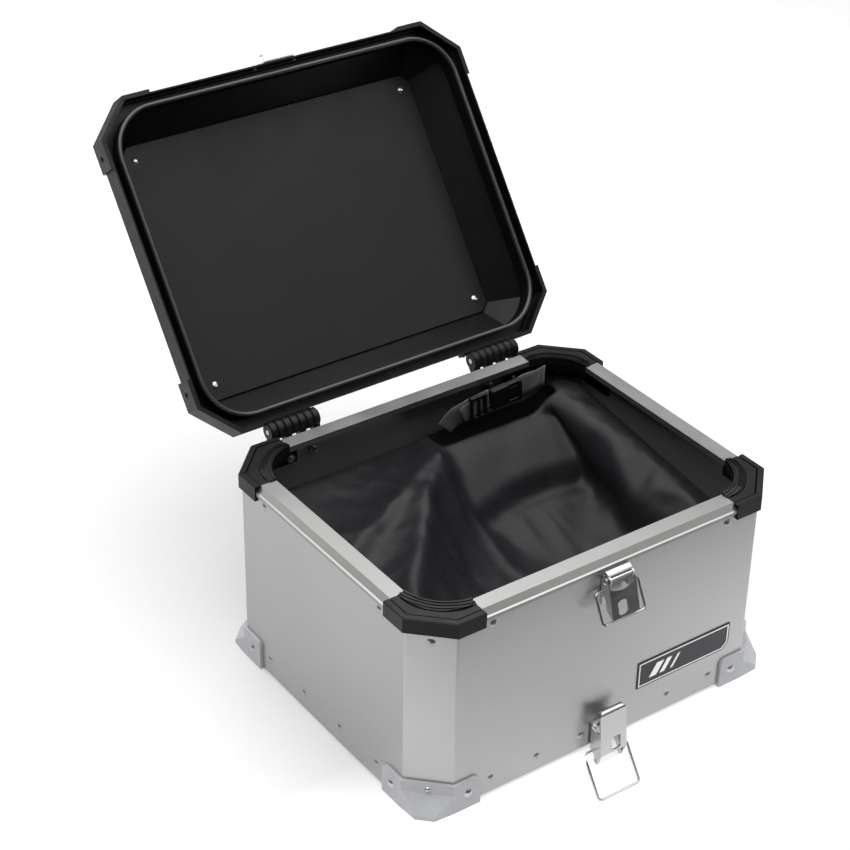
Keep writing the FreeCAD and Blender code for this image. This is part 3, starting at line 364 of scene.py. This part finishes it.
for k in range(1, BOTTOM_RINGS + 1):
    first = len(verts)
    shrink = 1.0 - 1.0 / (BOTTOM_RINGS + 1.5 - k)
    for i in outer:
        verts.append(Vector((verts[i].x * shrink, verts[i].y * shrink, BAG_FLOOR)))
    inner = list(range(first, first + count))
    for i in range(count):
        n = (i + 1) % count
        faces.append((outer[i], inner[i], inner[n], outer[n]))
    outer = inner
faces.append(tuple(outer[::-1]))
bag = add_mesh("bag_cloth", verts, faces, MATS["bag_fabric"], None)

smooth = bag.modifiers.new("smooth", "SMOOTH")
smooth.factor = 0.5
smooth.iterations = 2
subsurf = bag.modifiers.new("sub", "SUBSURF")
subsurf.levels = subsurf.render_levels = 1
skin = bag.modifiers.new("skin", "SOLIDIFY")
skin.thickness = 0.0009
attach(bag, "case")
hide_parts("inner_bag")

# ------------------------------------------------------------ strap and buckle
def strip(name, points, width):
    """Webbing that follows a line, standing on edge along the back of the case."""
    verts, faces = [], []
    fine = []
    for a, b in zip(points, points[1:]):
        for k in range(6):
            fine.append(Vector(a).lerp(Vector(b), k / 6))
    fine.append(Vector(points[-1]))
    for i, at in enumerate(fine):
        run = fine[min(i + 1, len(fine) - 1)] - fine[max(i - 1, 0)]
        across = run.cross(Vector((0, 1, 0))).normalized()
        for k in range(5):
            side = k / 4 - 0.5
            sag = 0.0010 * math.sin(9.0 * i / len(fine) + 2.0 * side)
            verts.append(at - across * width * side + Vector((0, sag, 0)))
    for i in range(len(fine) - 1):
        for k in range(4):
            v = i * 5 + k
            faces.append((v, v + 1, v + 6, v + 5))
    piece = add_mesh(name, verts, faces, MATS["webbing"], None)
    skin = piece.modifiers.new("skin", "SOLIDIFY")
    skin.thickness = 0.0014
    return piece


def join(name, pieces):
    """One mesh out of several, with their modifiers applied."""
    depsgraph = bpy.context.evaluated_depsgraph_get()
    mesh = bmesh.new()
    for piece in pieces:
        mesh.from_mesh(piece.evaluated_get(depsgraph).to_mesh())
    data = bpy.data.meshes.new(name)
    mesh.to_mesh(data)
    mesh.free()
    data.materials.append(pieces[0].data.materials[0])
    for piece in pieces:
        bpy.data.objects.remove(piece)
    made = bpy.data.objects.new(name, data)
    bpy.context.scene.collection.objects.link(made)
    return made


def block(x0, x1, y0, y1, z0, z1, edge):
    """A moulded block with eased edges, tipped along the strap."""
    shape = bmesh.new()
    bmesh.ops.create_cube(shape, size=1.0)
    data = bpy.data.meshes.new("block")
    shape.to_mesh(data)
    shape.free()
    data.materials.append(MATS["black_plastic"])
    mid = Vector(((x0 + x1) / 2, (y0 + y1) / 2, (z0 + z1) / 2))
    tip = Matrix.Rotation(math.radians(-4.0), 4, "Y")
    scale = Matrix.Diagonal((x1 - x0, y1 - y0, z1 - z0, 1.0))
    data.transform(Matrix.Translation(mid) @ tip @ scale)
    for poly in data.polygons:
        poly.use_smooth = True
    piece = bpy.data.objects.new("block", data)
    bpy.context.scene.collection.objects.link(piece)
    bevel = piece.modifiers.new("edge", "BEVEL")
    bevel.width = edge
    bevel.segments = 3
    bevel.harden_normals = True
    return piece


strap = join("strap_webbing", [
    strip("strap low", [(0.034, 0.139, 0.170), (0.046, 0.137, 0.181), (0.060, 0.1355, 0.187),
                        (0.086, 0.1345, 0.189)], 0.022),
    strip("strap tail", [(0.052, 0.1330, 0.181), (0.064, 0.1325, 0.1865),
                         (0.080, 0.1325, 0.1880)], 0.020),
    strip("strap high", [(0.118, 0.1345, 0.191), (0.138, 0.1360, 0.192),
                         (0.160, 0.1385, 0.191)], 0.022),
])
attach(strap, "case")
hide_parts("bag_strap")

glide = [block(0.0600 + 0.0085 * k, 0.0630 + 0.0085 * k, 0.1295, 0.1345, 0.1745, 0.2005, 0.0008)
         for k in range(3)]
glide += [block(0.0600, 0.0800, 0.1300, 0.1340, z, z + 0.003, 0.0008) for z in (0.1745, 0.1975)]
body = [block(0.0860, 0.1080, 0.1290, 0.1375, 0.1785, 0.2015, 0.0022),
        block(0.1040, 0.1200, 0.1305, 0.1360, 0.1840, 0.1975, 0.0018),
        block(0.1060, 0.1225, 0.1300, 0.1365, 0.1785, 0.1830, 0.0014),
        block(0.1060, 0.1225, 0.1300, 0.1365, 0.1985, 0.2025, 0.0014),
        block(0.1195, 0.1240, 0.1295, 0.1370, 0.1790, 0.2020, 0.0012)]
buckle = join("side_release_buckle", glide + body)
for poly in buckle.data.polygons:
    poly.use_smooth = True
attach(buckle, "case")
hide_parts("bag_buckle")

# ------------------------------------------------------------ studio
FRONT_END = -0.43        # the floor stops soon after the view does
floor_x = sorted([-4.0, -1.0, 1.0, 4.0] + [0.012 * k for k in range(-14, 15)])
floor_y = sorted([2.6, 0.2, -0.05, FRONT_END] + [-0.1695 - 0.004 * k for k in range(40)])
floor_verts = []
for y in floor_y:
    for x in floor_x:
        across = 1.0 - ease((abs(x) - 0.034) / 0.110)
        away = ease((-0.1695 - y) / 0.026) * (1.0 - ease((-0.215 - y) / 0.110))
        floor_verts.append((x, y, FOOT - 0.0002 - 0.056 * across * away))
floor_faces = []
wide = len(floor_x)
for j in range(len(floor_y) - 1):
    for i in range(wide - 1):
        k = j * wide + i
        floor_faces.append((k, k + 1, k + wide + 1, k + wide))
paper = finish("floor with painted glow", (0.60, 0.60, 0.60), 0.0, 0.8, 0.02, 0.01, 200.0, (1, 1, 1), 0.02,
               0.05)
glow = paper.node_tree.nodes["Principled BSDF"]
glow.inputs["Emission Color"].default_value = (1.0, 1.0, 1.0, 1.0)

def ramp(low, high, at_low, at_high):
    """A value that changes along Y over the floor, used for its painted glow."""
    node = paper.node_tree.nodes.new("ShaderNodeMapRange")
    node.inputs["From Min"].default_value = low
    node.inputs["From Max"].default_value = high
    node.inputs["To Min"].default_value = at_low
    node.inputs["To Max"].default_value = at_high
    paper.node_tree.links.new(split.outputs["Y"], node.inputs["Value"])
    return node.outputs["Result"]


split = paper.node_tree.nodes.new("ShaderNodeSeparateXYZ")
paper.node_tree.links.new(paper.node_tree.nodes["Texture Coordinate"].outputs["Object"],
                          split.inputs["Vector"])
# Painted light: the floor glows by position, from nothing at Y -0.36 up to 0.55 just in front of
# the case and 0.12 behind it. This brightens the reflection in the case front and also washes out
# the shadow in front of the case.
painted_glow_strength = paper.node_tree.nodes.new("ShaderNodeMath")
painted_glow_strength.operation = "MINIMUM"
paper.node_tree.links.new(ramp(-0.36, -0.20, 0.0, 0.55), painted_glow_strength.inputs[0])
paper.node_tree.links.new(ramp(-0.17, -0.06, 0.55, 0.12), painted_glow_strength.inputs[1])
paper.node_tree.links.new(painted_glow_strength.outputs[0], glow.inputs["Emission Strength"])
floor = add_mesh("floor", floor_verts, floor_faces, paper, None)

world = bpy.data.worlds.new("studio")
bpy.context.scene.world = world
world.use_nodes = True
world.node_tree.nodes["Background"].inputs["Color"].default_value = (0.95, 0.97, 1.0, 1.0)
world.node_tree.nodes["Background"].inputs["Strength"].default_value = 0.05


def softbox(name, at, target, size, power):
    data = bpy.data.lights.new(name, "AREA")
    data.shape = "RECTANGLE"
    data.size, data.size_y = size
    data.energy = power
    light = bpy.data.objects.new(name, data)
    bpy.context.scene.collection.objects.link(light)
    light.location = at
    aim = (Vector(target) - Vector(at)).to_track_quat("-Z", "Y")
    light.rotation_euler = aim.to_euler()
    return light


softbox("top", (0.0, 0.5, 2.5), (0.0, 0.5, 0.0), (4.4, 4.4), 215)
softbox("front right", (1.5, -1.75, 1.75), (0, 0, 0.2), (1.1, 0.8), 6)
softbox("back left", (-1.7, 1.9, 1.2), (0, 0, 0.2), (1.0, 0.8), 6)

cam_data = bpy.data.cameras.new("camera")
cam_data.lens = 90.9
cam_data.sensor_width = 36.0
camera = bpy.data.objects.new("camera", cam_data)
bpy.context.scene.collection.objects.link(camera)
camera.location = (-1.045, -1.320, 1.317)
az, el = math.radians(35.86), math.radians(32.2)
look = Vector((math.sin(az) * math.cos(el), math.cos(az) * math.cos(el), -math.sin(el)))
turn = look.to_track_quat("-Z", "Y").to_matrix() @ Matrix.Rotation(math.radians(1.03), 3, "Z")
camera.rotation_euler = turn.to_euler()
bpy.context.scene.camera = camera
bpy.context.scene.view_settings.view_transform = "Standard"
